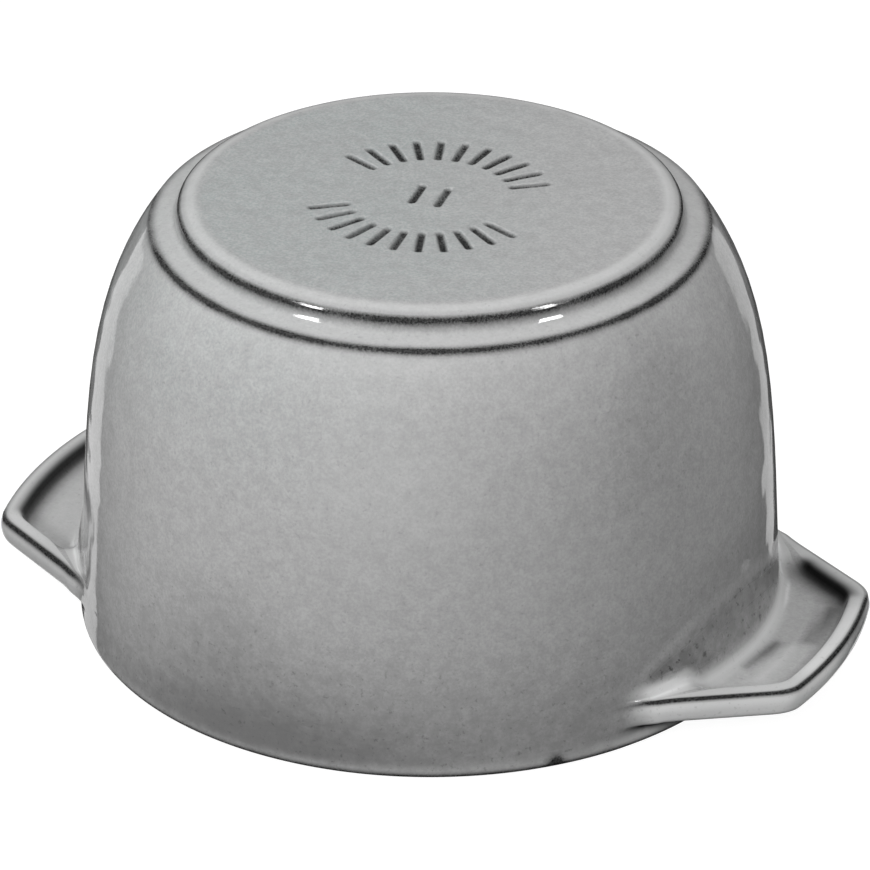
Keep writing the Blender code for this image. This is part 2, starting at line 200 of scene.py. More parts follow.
def streak(x, y, start, end, width, strength):
    """Soft line between two points."""
    dx, dy = end[0] - start[0], end[1] - start[1]
    t = ((x - start[0]) * dx + (y - start[1]) * dy) / (dx * dx + dy * dy)
    t = np.clip(t, 0.0, 1.0)
    return strength * bell(np.hypot(x - start[0] - t * dx, y - start[1] - t * dy), width)


def wall_radius(z):
    """Outer radius of the plain wall at a height."""
    t = z / SHOULDER_Z
    return RIM_RADIUS - WALL_TAPER * t - SHOULDER_CURVE * t ** WALL_POWER


def handle_offset(angles):
    """Angle from the middle line of the nearer handle."""
    return np.abs((angles + np.pi / 2.0) % np.pi - np.pi / 2.0)


def outline_radius(angle, inset):
    """Radius of a handle's outline, moved in by an inset, at an angle from its middle line."""
    root, corner = math.radians(HANDLE_ROOT_DEG), math.radians(HANDLE_CORNER_DEG)
    start = wall_radius(HANDLE_TOP)
    x0, y0 = start * math.cos(root), start * math.sin(root)
    x1, y1 = HANDLE_RADIUS * math.cos(corner), HANDLE_RADIUS * math.sin(corner)
    normal = math.atan2(x1 - x0, y0 - y1)
    distance = x0 * math.cos(normal) + y0 * math.sin(normal)
    side = (distance - inset) / np.cos(np.maximum(0.0, normal - angle))
    return smooth_min(HANDLE_RADIUS - inset, side, HANDLE_CORNER_BLEND)


class Section:
    """Rows of a loft. Each row is an array of radius and height, one value per column."""

    def __init__(self, columns):
        self.columns = columns
        self.corners = []

    def corner(self, r, z, radius=0.0, count=1, fill=0, name=None):
        """Add a corner of count points, with fill points on the way to the next one."""
        ones = np.ones(self.columns)
        self.corners.append(Corner(r * ones, z * ones, radius, count, fill, name))

    def curve(self, i):
        """Points of a corner: the corner itself, or a soft curve that cuts it off."""
        r, z, radius, count = self.corners[i][:4]
        if count == 1 or i in (0, len(self.corners) - 1):
            return [(r, z)]
        before, after = self.corners[i - 1], self.corners[i + 1]
        ar, az = before.r - r, before.z - z
        br, bz = after.r - r, after.z - z
        la, lb = np.hypot(ar, az), np.hypot(br, bz)
        turn = np.pi - np.arccos(np.clip((ar * br + az * bz) / (la * lb), -1.0, 1.0))
        cut = np.minimum(radius * np.tan(turn / 2.0), CORNER_SHARE * np.minimum(la, lb))
        points = []
        for t in np.linspace(0.0, 1.0, count):
            wa, wb = cut * (1.0 - t) ** 2 / la, cut * t ** 2 / lb
            points.append((r + ar * wa + br * wb, z + az * wa + bz * wb))
        return points

    def rows(self):
        """Radii and heights of all rows, and the middle row of each named corner."""
        curves = [self.curve(i) for i in range(len(self.corners))]
        rows, names = [], {}
        for corner, curve, following in zip(self.corners, curves, curves[1:] + [None]):
            names[corner.name] = len(rows) + len(curve) // 2
            rows.extend(curve)
            if following:
                (r0, z0), (r1, z1) = curve[-1], following[0]
                for k in range(1, corner.fill + 1):
                    t = k / (corner.fill + 1)
                    rows.append((r0 + (r1 - r0) * t, z0 + (z1 - z0) * t))
        return np.array([r for r, z in rows]), np.array([z for r, z in rows]), names


def pot_columns():
    """Angles of the pot's columns, closer together at the handles."""
    fine = np.arange(-FINE_DEG, FINE_DEG, FINE_STEP_DEG)
    coarse = np.arange(FINE_DEG, 180.0 - FINE_DEG, COARSE_STEP_DEG)
    half = np.concatenate([fine, coarse])
    return np.radians(np.concatenate([half, half + 180.0]))


def base_mark_depth(x, y):
    """Share of the full depth of the bars on the base."""
    depth = np.zeros_like(x)
    middle = math.radians(MARK_TURN_DEG)
    places = [(middle + math.radians(a), MARK_RADIUS, 0.0) for a in MARK_BARS_DEG]
    places += [(middle, 0.0, aside) for aside in MARK_CENTRE_SIDES]
    for angle, reach, aside in places:
        c, s = math.cos(angle), math.sin(angle)
        along, across = x * c + y * s, -x * s + y * c - aside
        over = np.maximum(np.abs(along - reach) - MARK_HALF_LENGTH, 0.0)
        away = np.hypot(over, across)
        bar = smoothstep(MARK_HALF_WIDTH + MARK_SOFT, MARK_HALF_WIDTH, away)
        depth = np.maximum(depth, bar)
    return depth


def pot_section(angles):
    """The pot's rows, how far each column is a handle, pocket depth, flare's spread and lip."""
    off = handle_offset(angles)
    lean = np.degrees(off) * np.sign(np.sin(angles)) + FLARE_LEAN_DEG
    spread = np.maximum(0.0, 1.0 - (lean / FLARE_DEG) ** 2)
    wall = wall_radius(HANDLE_TOP)
    overhang = -smooth_min(wall - outline_radius(off, 0.0), 0.0 * off, HANDLE_ROOT_BLEND)
    edge = wall + overhang
    foot = wall + FLARE_SWELL * spread
    lip = outline_radius(off, BORDER)
    depth = POCKET_DEPTH * smoothstep(POCKET_START, POCKET_FULL, lip - foot)
    floor = HANDLE_TOP - depth
    slope = POCKET_ROUND / 2.0
    least_low, least_high = (foot + share * (edge - foot) for share in POCKET_WALL_SHARES)
    handle = [
        (foot, floor),
        (np.maximum(lip - slope, least_low), floor),
        (np.maximum(lip + slope, least_high), HANDLE_TOP),
        (edge, HANDLE_TOP),
        (edge + HANDLE_SWELL, HANDLE_TOP - HANDLE_SWELL_DROP),
        (edge, HANDLE_BOTTOM),
        (wall_radius(HANDLE_BOTTOM), HANDLE_BOTTOM),
    ]
    fade = smoothstep(0.0, ROOT_FADE, overhang)
    lug = []
    for share, (r1, z1) in zip(ROOT_SHARES, handle):
        z0 = HANDLE_BOTTOM + (HANDLE_TOP - HANDLE_BOTTOM) * share
        r0 = wall_radius(z0)
        lug.append((r0 + (r1 - r0) * fade, z0 + (z1 - z0) * fade))
    flare_z = HANDLE_TOP + FLARE_ROOT_RISE + (FLARE_RISE - FLARE_ROOT_RISE) * spread

    s = Section(len(angles))
    for r in BASE_RINGS:
        s.corner(r, POT_HEIGHT)
    for turn in np.linspace(0.0, BASE_SWEEP, BASE_ROUND_STEPS, endpoint=False):
        r = BASE_FLAT + BASE_ROUND * math.sin(turn)
        z = POT_HEIGHT - BASE_ROUND * (1.0 - math.cos(turn))
        s.corner(r, z, name="base_round" if turn == 0.0 else None)
    s.corner(BASE_RADIUS, POT_HEIGHT - BASE_EDGE_DROP, BASE_EDGE_ROUND, 7, 4, "base_edge")
    s.corner(BASE_RADIUS + COVE_SETBACK, POT_HEIGHT - COVE_DEPTH, COVE_ROUND, 8, 6, "cove")
    s.corner(SHOULDER_RADIUS, SHOULDER_Z, CRISP_ROUND, 5, 0, "shoulder_edge")
    for drop in WALL_DROPS:
        s.corner(wall_radius(SHOULDER_Z - drop), SHOULDER_Z - drop)
    s.corner(wall_radius(flare_z), flare_z, FLARE_TOP_ROUND, 9, 5, "flare")
    s.corner(*lug[0], FLARE_ROUND, 9, 4, "foot")
    s.corner(*lug[1], POCKET_ROUND, 5, 1, "pocket")
    s.corner(*lug[2], POCKET_ROUND, 5, 4, "lip")
    s.corner(*lug[3], HANDLE_EDGE_ROUND, 5, 2, "handle_edge")
    s.corner(*lug[4], HANDLE_SWELL_ROUND, 5, 2)
    s.corner(*lug[5], HANDLE_UNDER_ROUND, 7, 6, "under")
    s.corner(*lug[6], POCKET_ROUND, 5, 2, "under_root")
    s.corner(RIM_RADIUS, 0.0, RIM_ROUND, 9, 1)
    s.corner(SEAT_RADIUS, 0.0, CRISP_ROUND, 4, 2, "seat_edge")
    s.corner(SEAT_RADIUS, SEAT_DEPTH, CRISP_ROUND, 3, 1)
    s.corner(MOUTH_RADIUS, SEAT_DEPTH, CRISP_ROUND, 4)
    lip_z = SEAT_DEPTH + LEDGE_LIP
    s.corner(MOUTH_RADIUS, lip_z, LEDGE_ROUND, 4)
    inner_floor = POT_HEIGHT - BASE_THICKNESS
    low, high = lip_z + LEDGE_SLOPE, inner_floor - 2.0 * INNER_CORNER
    s.corner(wall_radius(low) - WALL, low, LEDGE_ROUND, 4)
    for share in INNER_WALL_SHARES:
        z = low + (high - low) * share
        s.corner(wall_radius(z) - WALL, z)
    s.corner(RIM_RADIUS - INNER_FLOOR_SETBACK, inner_floor, INNER_CORNER, 10)
    for r in INNER_FLOOR_RINGS:
        s.corner(r, inner_floor)
    return s.rows(), fade, depth, spread, lip


class PotSurface:
    """The pot's points, one array row per row of its section, and how the enamel and painted light
    and shade lie on them.

    Each method named in ENAMEL_VALUES gives one value per point. Lengths are in millimetres
    along the section, turns in degrees round the pot.
    """

    def __init__(self):
        angles = self.angles = pot_columns()
        section, self.fade, self.pocket_depth, self.spread, lip = pot_section(angles)
        self.radii, heights, self.names = section
        self.x, self.y = self.radii * np.cos(angles), self.radii * np.sin(angles)
        on_base = (self.radii < MARK_LIMIT) * (heights > POT_HEIGHT - MARK_LEVEL)
        self.marks = base_mark_depth(self.x, self.y) * on_base
        self.heights = heights - MARK_DEPTH * self.marks
        steps = np.hypot(np.diff(self.radii, axis=0), np.diff(self.heights, axis=0))
        self.run = np.vstack([np.zeros(len(angles)), np.cumsum(steps, axis=0)])
        self.rows = np.arange(len(self.radii))[:, None]

        front = math.radians(FRONT_DEG)
        self.to_front = np.cos(angles - front)
        # Side of the pot where the painted reflection of the floor above the rim is strongest
        self.rim_light = 0.5 + 0.5 * np.cos(angles - math.radians(RIM_LIGHT_SIDE_DEG))
        self.side = np.cos(angles)
        self.on_right = self.side > 0.0
        self.off = np.degrees(handle_offset(angles))
        along_x, along_y = np.gradient(lip * np.cos(angles)), np.gradient(lip * np.sin(angles))
        facing = along_x * math.sin(front) - along_y * math.cos(front)
        self.open_side = smoothstep(-0.5, 0.3, facing / np.hypot(along_x, along_y))

        above_rim = self.rows < self.names["seat_edge"]
        above_root = self.rows < self.names["under_root"]
        on_lug = self.fade * smoothstep(-2.0, 6.0, self.past("flare")) * above_root
        self.on_side = self.below("shoulder_edge") * above_rim * (1.0 - on_lug)
        self.under_lug = self.below("under_root") * above_rim
        self.on_floor = self.between("foot", "pocket", 2) * self.fade

        past_edge = self.past("handle_edge") - 0.12 + 0.08 * self.side
        edge_line = ridge(past_edge, 0.64 - 0.12 * self.side, 0.68 - 0.14 * self.side)
        self.edge_line = edge_line * (self.fade * (1.0 - 0.55 * self.open_side))

    def past(self, name):
        """Length along the section past a named row."""
        return self.run - self.run[self.names[name]]

    def below(self, name):
        """Whether a row comes after a named one."""
        return self.rows > self.names[name]

    def between(self, first, last, later=0):
        """One between two named rows, and soft at both ends."""
        first, last = self.names[first] + later, self.names[last]
        start = smoothstep(first - 3, first + 2, self.rows)
        return start * (1.0 - smoothstep(last - 2, last + 2, self.rows))

    def turned(self, degrees):
        """Degrees round the pot from a given side."""
        turn = (self.angles - math.radians(degrees) + np.pi) % (2.0 * np.pi) - np.pi
        return np.degrees(turn)

    def thin_and_shade(self):
        """Thin glass over the edges, where dark iron shows, and painted shade: a contact shadow at
        the rim and shade in the base's bars.
        """
        round_front = 0.45 + 0.55 * smoothstep(-0.5, 0.7, self.to_front)
        thin_and_shade = 1.05 * ridge(self.past("base_edge"), 0.9, 1.25)
        thin_and_shade += 1.15 * ridge(self.past("shoulder_edge"), 1.05, 0.95) * round_front
        thin_and_shade += 1.3 * self.edge_line
        # Painted contact shadow: a dark line along the bottom of the wall at the rim
        thin_and_shade += self.under_lug * smoothstep(1.8, 0.5, self.heights)
        thin_and_shade += bell(self.past("seat_edge"), 2.4)
        # Painted shade in the recessed bars on the base
        thin_and_shade += 0.95 * self.marks
        from_spot = np.degrees(self.angles) - BARE_SPOT_DEG % 360.0
        across = from_spot * self.radii * math.pi / 180.0
        spot = np.hypot(across, self.heights - BARE_SPOT_Z)
        return thin_and_shade + 1.5 * bell(spot, BARE_SPOT_RADIUS) * self.under_lug

    def pool(self):
        """Thick pale glass, where it has run together, and painted light: highlights, reflections
        and lit places.
        """
        side, off, heights, past_base = self.side, self.off, self.heights, self.past("base_edge")
        # Painted light: a pale band on the base's rounding, paler at the back and on the right
        lit_base_band = smoothstep(-5.4, -3.4, past_base) * smoothstep(0.2, -0.8, past_base)
        # Painted highlight on the shallow edges of the recessed bars
        bar_highlight = bell(self.marks - 0.12, 0.1) * (self.marks > 0.0)
        pool = (0.72 - 0.24 * self.to_front + 0.12 * side) * lit_base_band + 0.6 * bar_highlight
        pool += 0.5 * smoothstep(-1.5, 0.5, self.past("cove")) * ~self.below("shoulder_edge")
        pool += 0.3 * bell(self.past("shoulder_edge"), 6.0) * self.below("shoulder_edge")
        # Painted reflection of the floor: a pale band just above the rim
        pool += 0.5 * self.under_lug * bell(heights - 3.0, 1.7) * self.rim_light

        pool += (1.12 + 0.28 * side) * bell(self.past("foot") + 0.9, 1.5) * self.fade
        border = 0.95 + 0.5 * smoothstep(14.0, 7.0, off) * self.on_right
        border = border + 0.5 * self.open_side * (side < 0.0)
        pool += border * (self.between("lip", "handle_edge") * self.fade)
        # Painted shade round the right handle's end: its outer face paler on one side of the middle
        # line and darker on the other
        along_end = self.turned(0.0)
        end = 0.45 * bell(along_end + 7.0, 5.0) - 1.5 * bell(along_end - 5.5, 6.0)
        outer_face = 1.1 + 0.5 * side + self.on_right * end
        pool += outer_face * self.between("handle_edge", "under") * self.fade
        # Painted bounce light: the wall just under the right handle's roots made paler
        bounce_light_under_handle = bell(off - 28.0, 6.0) * self.on_right
        pool += 1.5 * self.under_lug * bell(heights - 2.6, 1.8) * bounce_light_under_handle
        pool += (0.5 - 0.1 * side) * self.between("foot", "pocket") * self.fade
        # Painted pale reflection on the pocket's floor
        pool += streak(self.x, self.y, *PALE_REFLECTION) * self.on_floor

        pool += 0.16 * bell(self.past("flare") - 1.0, 2.4) * self.spread
        # Painted light: the middle of the wall made paler on one side
        painted_lit_side = bell(heights - 60.0, 24.0) * bell(self.turned(LIT_SIDE_DEG), 26.0)
        pool += 0.38 * self.on_side * painted_lit_side
        on_flare = (self.rows < self.names["lip"]) * self.below("flare")
        root = bell(off - 27.0, 4.5) * bell(heights - 11.8, 1.9) * on_flare
        return pool + (0.75 + 0.45 * side) * root

    def rough(self):
        """Rough casting of the flare between the wall and a pocket."""
        past_flare, past_foot = self.past("flare"), self.past("foot")
        rough = smoothstep(0.3, 4.0, past_flare) * smoothstep(-1.8, -4.0, past_foot) * self.fade
        rough *= 1.0 + 0.5 * bell(past_foot + 5.0, 1.3) * bell(self.off - 22.0, 7.0)
        return rough * (1.0 + 0.25 * bell(past_flare - 5.0, 3.0))

    def deep_shade(self):
        """Painted shade of the far pocket walls, painted reflections on the pocket's floor, painted
        shadow under the handles, and darker handle edge lines.
        """
        side, names = self.side, self.names
        half_wall = 0.5 * (self.run[names["lip"]] - self.run[names["pocket"]])
        middle = self.past("pocket") - half_wall
        to_root = smoothstep(16.0, 28.0, self.off)
        taper = 1.0 - 0.45 * to_root
        low_reach, high_reach = (4.15 + 0.95 * side) * taper, (2.55 + 0.25 * side) * taper
        # Painted shade on the pocket walls that face the front
        deep_shade = ridge(middle - 0.4 - 1.2 * to_root, low_reach, high_reach)
        deep_shade *= (0.955 + 0.03 * side) * self.open_side
        # Painted shade: a darker band on the other pocket walls
        deep_shade += 0.4 * bell(middle + 1.6, 0.8) * (1.0 - self.open_side)
        deep_shade *= smoothstep(0.4, 2.6, self.pocket_depth) * self.below("foot")
        # Painted dark reflections on the pocket's floor
        deep_shade += sum(streak(self.x, self.y, *dark) for dark in DARK_REFLECTIONS) * self.on_floor
        # Painted shadow under the handles, wider where they overhang more
        under_reach = 0.8 + 0.34 * np.clip(30.0 - self.off, 0.0, 8.0)
        under = 1.5 * ridge(self.past("under_root") - 0.2, 1.6, under_reach)
        deep_shade += under * self.fade * (0.5 + 0.5 * side) + 0.8 * self.edge_line
        return np.minimum(deep_shade, 0.99)

    def shade(self):
        """Soft shade of the wall."""
        shade = smoothstep(45.0, 5.0, self.heights)
        for strength, height, reach, degrees, width in SHADED:
            at_height = bell(self.heights - height, reach)
            shade += strength * at_height * bell(self.turned(degrees), width)
        # Less shade just above the rim, for the same painted reflection of the floor
        rim_light_band = 0.7 * self.rim_light * smoothstep(3.5, 1.5, self.heights)
        return shade * (self.on_side * (1.0 - rim_light_band))

    def dull(self):
        """Little gloss, where the photograph shows no reflections."""
        past_shoulder = self.past("shoulder_edge")
        dull = smoothstep(-2.0, -0.8, past_shoulder) * smoothstep(15.0, 9.0, past_shoulder)
        dull = dull * smoothstep(78.0, 52.0, np.abs(self.turned(FRONT_DEG)))
        dull += smoothstep(0.0, 0.2, self.marks)
        dull += self.deep_shade()
        return dull + bell(self.off - 30.0, 3.5) * self.between("pocket", "under") * self.on_right

    def cool(self):
        """Cool tint of the base and of the wall's upper left."""
        aside = self.x * RIGHT.x + self.y * RIGHT.y
        on_base = self.rows < self.names["base_round"]
        cool = (0.15 + 0.85 * smoothstep(40.0, -20.0, aside)) * on_base
        upper_left = smoothstep(48.0, 75.0, self.heights) * smoothstep(20.0, -50.0, aside)
        return cool + 0.5 * upper_left * ~on_base * (self.to_front > -0.5)


def add_piece(name, verts, faces):
    """Smooth mesh object in the scene."""
    mesh = bpy.data.meshes.new(name)
    mesh.from_pydata(verts, [], faces)
    mesh.polygons.foreach_set("use_smooth", [True] * len(faces))
    mesh.update()
    obj = bpy.data.objects.new(name, mesh)
    bpy.context.scene.collection.objects.link(obj)
    return obj


def make_pot():
    surface = PotSurface()
    columns, rows = len(surface.angles), len(surface.radii)
    verts = np.stack([surface.x, surface.y, surface.heights], axis=-1).reshape(-1, 3)
    top, bottom = len(verts), len(verts) + 1
    verts = np.vstack([verts, [(0, 0, POT_HEIGHT), (0, 0, surface.heights[-1, 0])]]) * MM
    first_inside = surface.names["seat_edge"]
    faces, slots = [], []
    for j in range(columns):
        k = (j + 1) % columns
        faces.append((top, j, k))
        slots.append(OUTSIDE)
        for i in range(rows - 1):
            a, b = i * columns, (i + 1) * columns
            faces.append((a + j, b + j, b + k, a + k))
            slots.append(INSIDE if i >= first_inside else OUTSIDE)
        a = (rows - 1) * columns
        faces.append((bottom, a + k, a + j))
        slots.append(INSIDE)
    pot = add_piece("pot_body", verts.tolist(), faces)
    pot.data.polygons.foreach_set("material_index", np.array(slots, np.int32))
    for label in ENAMEL_VALUES:
        values = np.append(getattr(surface, label)().ravel(), [0.0, 0.0])
        attribute = pot.data.attributes.new(label, "FLOAT", "POINT")
        attribute.data.foreach_set("value", values.astype(np.float32))
    return pot


def lathe(name, corners, steps, closed, base_z=0.0):
    """Body of revolution. Its corners run down the outer side, each as r, z, radius and count."""
    s = Section(1)
    for corner in corners:
        s.corner(*corner)
    radii, heights, _ = s.rows()
    angles = np.linspace(0.0, 2.0 * np.pi, steps, endpoint=False)
    verts, faces, rings = [], [], []
    for r, h in zip(radii[:, 0].tolist(), heights[:, 0].tolist()):
        z = (h + base_z) * MM
        if r < 1e-6:
            rings.append([len(verts)] * steps)
            verts.append((0.0, 0.0, z))
        else:
            rings.append(list(range(len(verts), len(verts) + steps)))
            verts.extend((r * math.cos(a) * MM, r * math.sin(a) * MM, z) for a in angles)
    pairs = list(zip(rings[:-1], rings[1:])) + ([(rings[-1], rings[0])] if closed else [])
    for upper, lower in pairs:
        for j in range(steps):
            k = (j + 1) % steps
            ring = (upper[j], lower[j], lower[k], upper[k])
            faces.append(tuple(dict.fromkeys(ring)))
    return add_piece(name, verts, faces)


def dome_height(r):
    """Height of the lid's dome above its flange."""
    t = np.maximum(0.0, r - KNOB_SEAT) / (DOME_RADIUS - KNOB_SEAT)
    return (LID_CROWN - LID_FLANGE) * (1.0 - t * t)


def make_lid():
    corners = [(BORE_RADIUS, LID_CROWN)]
    for r in np.linspace(KNOB_SEAT, DOME_RADIUS, DOME_RINGS, endpoint=False):
        corners.append((r, LID_FLANGE + dome_height(r)))
    corners.append((DOME_RADIUS, LID_FLANGE, DOME_ROOT_ROUND, 4))
    corners.append((FLANGE_RADIUS, LID_FLANGE, LID_EDGE_ROUND, 5))
    corners.append((FLANGE_RADIUS, 0.0, LID_EDGE_ROUND, 5))
    corners.append((DOME_RADIUS, 0.0, LID_EDGE_ROUND, 4))
    pitch = (DOME_RADIUS - KNOB_SEAT) / (DRIP_RINGS + 1)
    under = LID_FLANGE - LID_WALL
    for ring in range(DRIP_RINGS, 0, -1):
        middle = KNOB_SEAT + pitch * ring
        for share in DRIP_BETWEEN:
            r = middle + share * pitch
            corners.append((r, under + dome_height(r)))
        for across, drop in DRIP_CORNERS:
            r = middle + DRIP_WIDTH * across
            corners.append((r, under + dome_height(r) - DRIP_HEIGHT * drop, DRIP_ROUND, 4))
    corners.append((KNOB_SEAT, LID_CROWN - LID_WALL))
    corners.append((BORE_RADIUS, LID_CROWN - LID_WALL))
    return lathe("lid_body", corners, LID_STEPS, True)


def make_knob():
    corners = [(0.0, KNOB_HEIGHT)]
    corners += [(KNOB_RADIUS * r, KNOB_HEIGHT * h, CAP_ROUND, 6) for r, h in KNOB_CAP]
    corners += [(KNOB_FOOT * r, KNOB_HEIGHT * h, STEM_ROUND, 5) for r, h in KNOB_STEM]
    corners.append((KNOB_FOOT, KNOB_HEIGHT * KNOB_FOOT_TOP, FOOT_ROUND, 3))
    corners.append((KNOB_FOOT, 0.0, FOOT_EDGE_ROUND, 3))
    hole = SCREW_GRIP + SCREW_TIP_ROOM
    corners += [(BORE_RADIUS, z, BORE_ROUND, 3) for z in (0.0, hole)]
    corners.append((0.0, hole))
    return lathe("knob_body", corners, KNOB_STEPS, False, LID_CROWN + GAP)


class Nodes:
    """Short way to write a material's node tree."""

    def __init__(self, name):
        self.material = bpy.data.materials.new(name)
        self.material.use_nodes = True
        self.tree = self.material.node_tree
        self.shader = self.tree.nodes["Principled BSDF"]
        self.place = None

    def add(self, kind, **settings):
        node = self.tree.nodes.new(kind)
        for key, value in settings.items():
            setattr(node, key, value)
        return node

    def wire(self, value, socket):
        """Link a socket to another one, or set its value."""
        if isinstance(value, bpy.types.NodeSocket):
            self.tree.links.new(value, socket)
        else:
            socket.default_value = value

    def attribute(self, name):
        return self.add("ShaderNodeAttribute", attribute_name=name).outputs["Fac"]

    def noise(self, scale, detail=3.0, roughness=0.55, stretch=None):
        """Noise in the piece's own coordinates."""
        if not self.place:
            self.place = self.add("ShaderNodeTexCoord").outputs["Object"]
        place = self.place
        if stretch:
            mapping = self.add("ShaderNodeMapping")
            mapping.inputs["Scale"].default_value = stretch
            self.tree.links.new(place, mapping.inputs["Vector"])
            place = mapping.outputs["Vector"]
        node = self.add("ShaderNodeTexNoise")
        self.tree.links.new(place, node.inputs["Vector"])
        for key, value in (("Scale", scale), ("Detail", detail), ("Roughness", roughness)):
            node.inputs[key].default_value = value
        return node.outputs["Fac"]

    def math(self, operation, a, b):
        node = self.add("ShaderNodeMath", operation=operation)
        self.wire(a, node.inputs[0])
        self.wire(b, node.inputs[1])
        return node.outputs[0]

    def times(self, a, b):
        return self.math("MULTIPLY", a, b)

    def spread(self, value, low, high, out_low=0.0, out_high=1.0):
        """Map a range softly to another one."""
        node = self.add("ShaderNodeMapRange", interpolation_type="SMOOTHSTEP")
        self.wire(value, node.inputs["Value"])
        limits = {"From Min": low, "From Max": high, "To Min": out_low, "To Max": out_high}
        for key, limit in limits.items():
            node.inputs[key].default_value = limit
        return node.outputs[0]

    def mix(self, share, a, b):
        """Mix two colours."""
        node = self.add("ShaderNodeMix", data_type="RGBA")
        for index, value in ((0, share), (6, a), (7, b)):
            self.wire(value, node.inputs[index])
        return node.outputs[2]

    def bump(self, height, strength, distance, under=None):
        node = self.add("ShaderNodeBump")
        self.wire(height, node.inputs["Height"])
        self.wire(strength, node.inputs["Strength"])
        node.inputs["Distance"].default_value = distance
        if under:
            self.tree.links.new(under, node.inputs["Normal"])
        return node.outputs["Normal"]

    def finish(self, **sockets):
        """Set the shader's sockets, each by its name in lower case, and give the material."""
        for key, value in sockets.items():
            self.wire(value, self.shader.inputs[key.replace("_", " ").title()])
        return self.material


def grey(level, green=0.0):
    """Neutral grey, or one with a green tint."""
    return (level - green, level + green * 0.4, level + green * 0.2, 1.0)


def enamel(name):
    """Glossy grey glass: mottled, dark on sharp edges, pale where it pools, pitted on the flare,
    with painted light and shade.
    """
    n = Nodes(name)
    thin_and_shade, pool, rough, deep_shade, shade, dull, cool = (n.attribute(label) for label in ENAMEL_VALUES)
    grain, blotch = n.noise(1700.0, 4.0, FINE), n.noise(420.0, 4.0, FINE)
    pits, speckle = n.noise(680.0, 3.0, FINE), n.noise(2400.0, 3.0, 0.75)

    # Grey with a cool tint in places, grain and blotches
    tint = n.times(cool, n.spread(n.noise(60.0, 2.0), 0.4, 0.62, 0.8, 1.1))
    colour = n.mix(tint, grey(0.365), grey(0.343, 0.019))
    colour = n.mix(n.spread(grain, 0.36, 0.64, 0.0, 0.66), colour, grey(0.45))
    colour = n.mix(n.spread(blotch, 0.35, 0.68, 0.0, 0.35), colour, grey(0.28))
    # Thick glass and painted light, pale and then nearly white
    colour = n.mix(n.spread(pool, 0.1, 1.0, 0.0, 0.8), colour, grey(0.56, 0.002))
    colour = n.mix(n.spread(pool, 0.9, 2.2, 0.0, 0.8), colour, grey(0.8, 0.002))
    # Shade of the wall and its specks
    patchy = n.times(shade, n.spread(blotch, 0.3, 0.7, 0.93, 1.07))
    colour = n.mix(n.spread(patchy, 0.0, 2.0, 0.0, 0.9), colour, grey(0.14))
    specks = n.spread(n.noise(1000.0, 3.0, FINE), 0.58, 0.74)
    specks = n.times(specks, n.spread(shade, 0.0, 1.6, 0.2, 0.65))
    colour = n.mix(specks, colour, grey(0.1))
    # Rough casting with pits, and painted deep shade
    mottle = n.times(rough, n.spread(n.noise(380.0, 3.0, FINE), 0.35, 0.65, 0.48, 0.74))
    pitted = n.times(rough, n.spread(pits, 0.56, 0.7))
    colour = n.mix(mottle, colour, grey(0.18))
    colour = n.mix(n.times(pitted, 0.6), colour, grey(0.04))
    colour = n.mix(deep_shade, colour, grey(0.003))
    # Thin glass and painted shade: speckled dark lines of uneven width
    wander = n.spread(n.noise(90.0, 2.0), 0.3, 0.7, 0.85, 1.15)
    grainy = n.math("ADD", n.times(speckle, 0.9), 0.58)
    worn_and_shaded = n.math("MINIMUM", n.times(n.times(thin_and_shade, wander), grainy), 0.97)
    iron_and_shade = n.mix(n.spread(speckle, 0.35, 0.65), grey(0.05), grey(0.006))
    colour = n.mix(worn_and_shaded, colour, iron_and_shade)

    gloss = n.math("ADD", n.spread(worn_and_shaded, 0.0, 1.0, 0.05, 0.1), n.times(rough, 0.2))
    shine = n.spread(dull, 0.0, 1.0, 0.5, 0.0)
    # Waves of the glass, finer unevenness, grain, and the pits
    normal = n.bump(n.noise(95.0, 1.0), 1.0, 0.0004)
    normal = n.bump(n.noise(330.0, 2.0), 0.05, 0.0004, normal)
    normal = n.bump(grain, 0.03, 0.0002, normal)
    normal = n.bump(pits, n.times(rough, 0.35), 0.0006, normal)
    n.wire(shine, n.shader.inputs["Specular IOR Level"])
    return n.finish(base_color=colour, roughness=gloss, normal=normal)


def inner_enamel(name):
    """Matt black enamel of the inside, with a fine grainy face."""
    n = Nodes(name)
    grain, cloud = n.noise(1500.0, 3.0, FINE), n.noise(120.0)
    colour = n.mix(n.spread(grain, 0.35, 0.75), grey(0.018), grey(0.045))
    colour = n.mix(n.spread(cloud, 0.4, 0.7, 0.0, 0.5), colour, grey(0.03))
    gloss = n.spread(grain, 0.3, 0.7, 0.36, 0.55)
    return n.finish(base_color=colour, roughness=gloss, normal=n.bump(grain, 0.25, 0.0003))


def steel(name, colour, low, high):
    """Turned steel with fine rings and a faint cloud of polish, between two roughnesses."""
    n = Nodes(name)
    rings, cloud = n.noise(1.0, 2.0, 0.5, (30.0, 30.0, 4200.0)), n.noise(140.0)
    clouded = n.spread(cloud, 0.4, 0.7, 0.0, 0.08)
    gloss = n.math("ADD", n.spread(rings, 0.3, 0.7, low, high), clouded)
    shade = tuple(0.82 * c for c in colour)
    tone = n.mix(n.spread(cloud, 0.35, 0.7), (*colour, 1.0), (*shade, 1.0))
    relief = n.bump(rings, 0.08, 0.0001)
    return n.finish(base_color=tone, metallic=1.0, roughness=gloss, normal=relief)


def paper(name, tones, light=0.0):
    """Plain floor paper between two tones, which may give light."""
    n = Nodes(name)
    tone = n.mix(n.noise(3.0), grey(tones[0]), grey(tones[1]))
    return n.finish(
        base_color=tone, roughness=0.7, emission_color=WHITE, emission_strength=light
    )


def glow(name, strength):
    """Black surface that gives white light."""
    n = Nodes(name)
    return n.finish(base_color=BLACK, emission_color=WHITE, emission_strength=strength)


